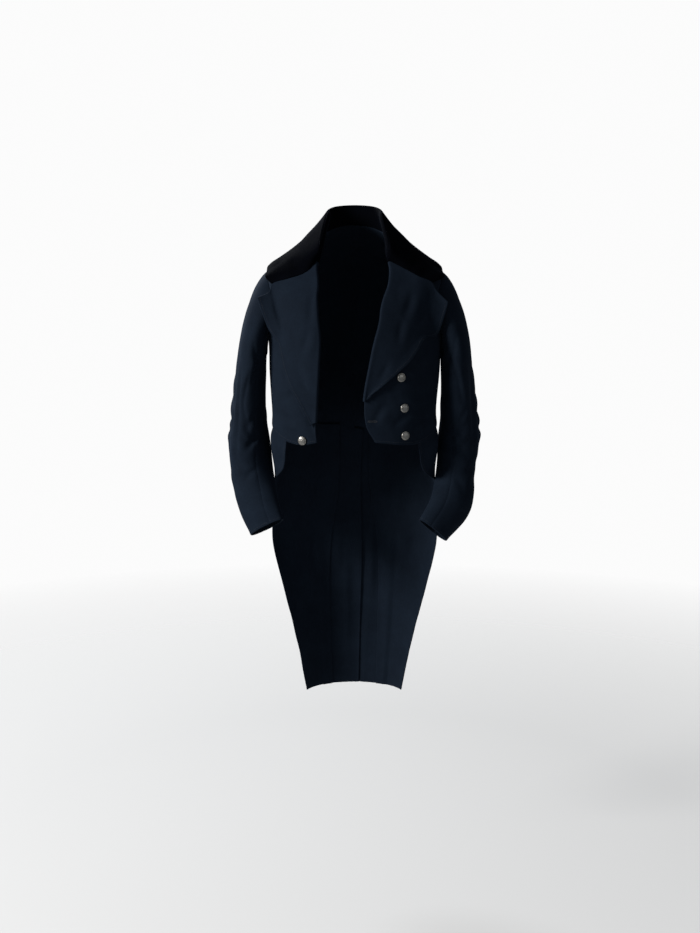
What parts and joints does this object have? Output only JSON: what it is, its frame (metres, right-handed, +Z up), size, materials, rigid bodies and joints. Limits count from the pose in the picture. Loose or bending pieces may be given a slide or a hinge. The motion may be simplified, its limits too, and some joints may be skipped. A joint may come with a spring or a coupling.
{
  "type": "tailcoat",
  "caption": "Double-breasted tailcoat worn open, dark wool with a wide velvet collar, turned-back lapels, domed metal buttons and long tails.",
  "frame": {"origin": "middle of the neck, level with the point where the shoulder seam meets the neckline", "axes": "+X towards the wearer's left, -Y to the front, +Z up"},
  "size_m": [0.5459, 0.2829, 1.0956],
  "materials": {
    "wool": "milled navy-black wool with a soft nap",
    "velvet": "black velvet pile",
    "button_metal": "worn silvered metal"
  },
  "bodies": {
    "root": {"front_left": "wool", "side_body_left": "wool", "back_left": "wool", "skirt_left": "wool", "lapel_left": "wool", "top_sleeve_left": "wool", "under_sleeve_left": "wool", "front_right": "wool", "side_body_right": "wool", "back_right": "wool", "skirt_right": "wool", "lapel_right": "wool", "top_sleeve_right": "wool", "under_sleeve_right": "wool", "collar": "velvet", "button_front_left_1": "button_metal", "button_front_left_2": "button_metal", "button_front_left_3": "button_metal", "button_front_right": "button_metal", "button_back_left": "button_metal", "button_back_right": "button_metal"}
  },
  "joints": []
}
